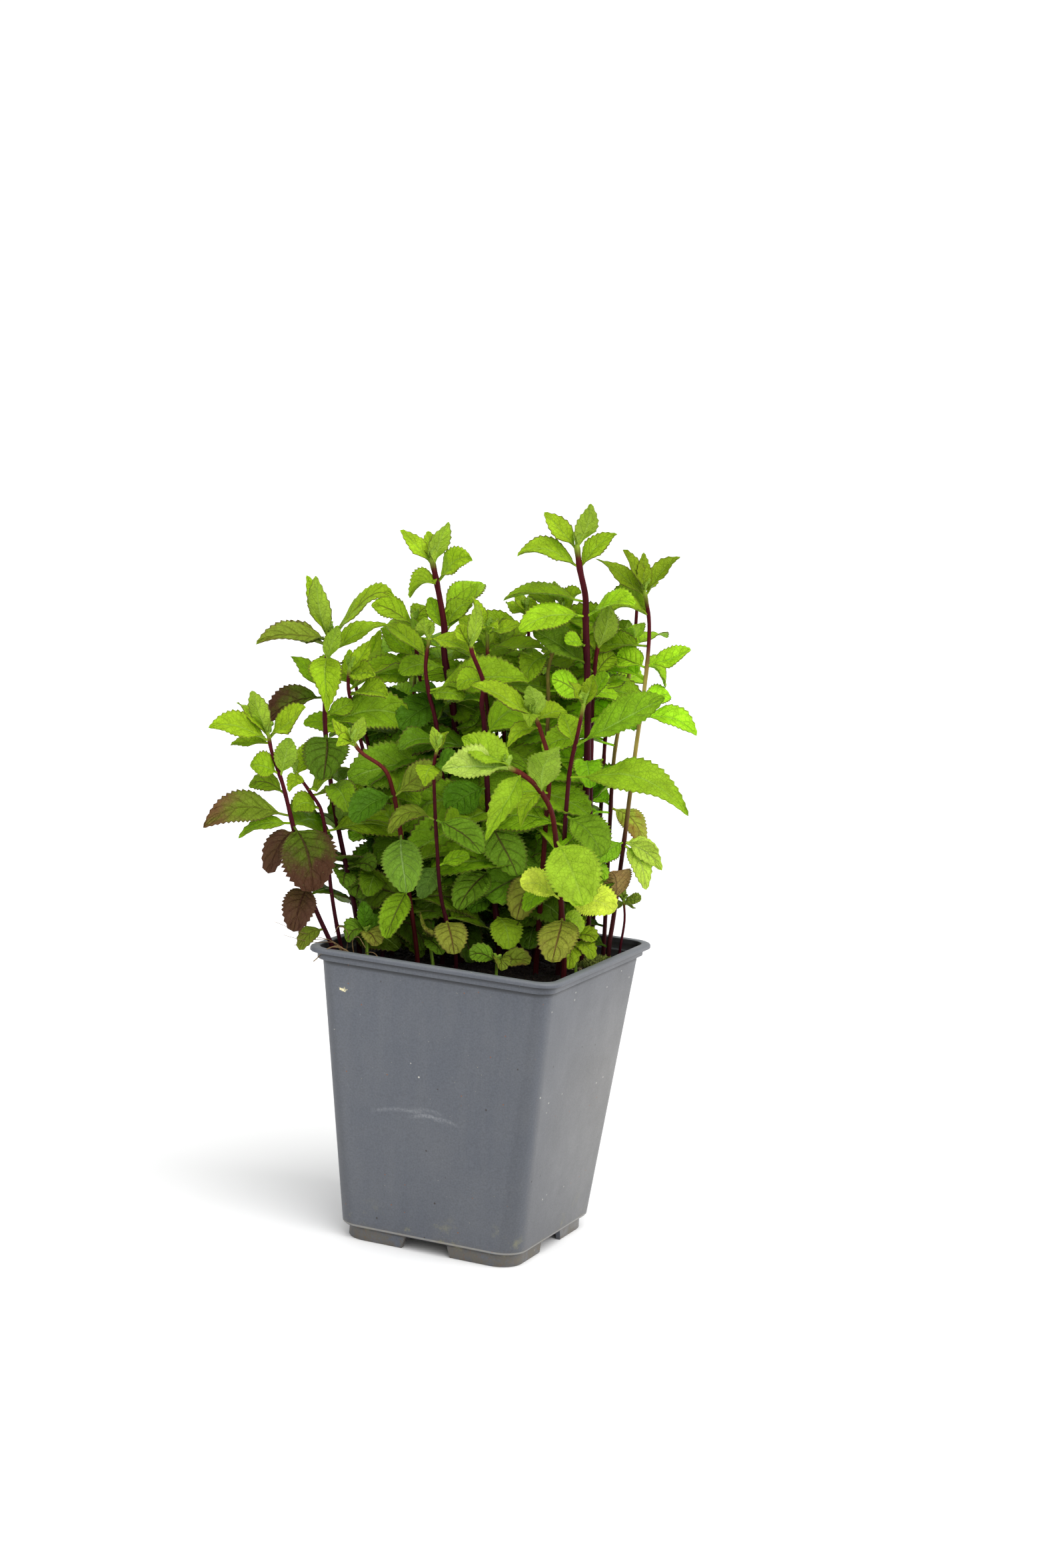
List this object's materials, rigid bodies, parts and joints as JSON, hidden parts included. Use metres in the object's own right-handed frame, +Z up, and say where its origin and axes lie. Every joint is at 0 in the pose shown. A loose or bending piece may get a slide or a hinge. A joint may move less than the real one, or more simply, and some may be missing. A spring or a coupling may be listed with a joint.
{
  "type": "potted mint plant",
  "caption": "Bushy mint plant: upright square stems with pairs of toothed oval leaves, growing in potting soil in a square, tapered plastic nursery pot that stands on corner feet.",
  "frame": {"origin": "the middle of the pot at the level that its feet stand on, which is also the middle of the whole plant's box seen from above", "axes": "+Z up; X and Y along the sides of the square pot; the picture was taken from -Y, a little to the +X side"},
  "size_m": [0.1797, 0.1602, 0.305],
  "materials": {
    "pot": "satin, dusty",
    "soil": "rough, moist",
    "stem": "matt leaves on dark red-purple stems",
    "shoot": "matt young leaves"
  },
  "bodies": {
    "root": {"pot": "pot", "soil": "soil", "stem_left_low": "stem", "stem_left_inner": "stem", "stem_left_high": "stem", "stem_left_arch": "stem", "stem_left_back": "stem", "stem_left_tall": "stem", "stem_left_bow": "stem", "stem_middle_left": "stem", "stem_middle_left_front": "stem", "stem_middle": "stem", "stem_middle_twin": "stem", "stem_middle_back": "stem", "stem_back_thin": "stem", "stem_right_olive": "stem", "stem_right_tall": "stem", "stem_right_mate": "stem", "stem_right_high": "stem", "stem_right_inner": "stem", "stem_right_back": "stem", "stem_front_bow": "stem", "stem_front_right": "stem", "stem_yellow_top": "stem", "stem_front_left": "stem", "stem_back_left": "stem", "stem_back_middle": "stem", "stem_back_right": "stem", "shoot_left": "shoot", "shoot_middle": "shoot", "shoot_front": "shoot", "shoot_right": "shoot", "shoot_right_back": "shoot"}
  },
  "joints": []
}
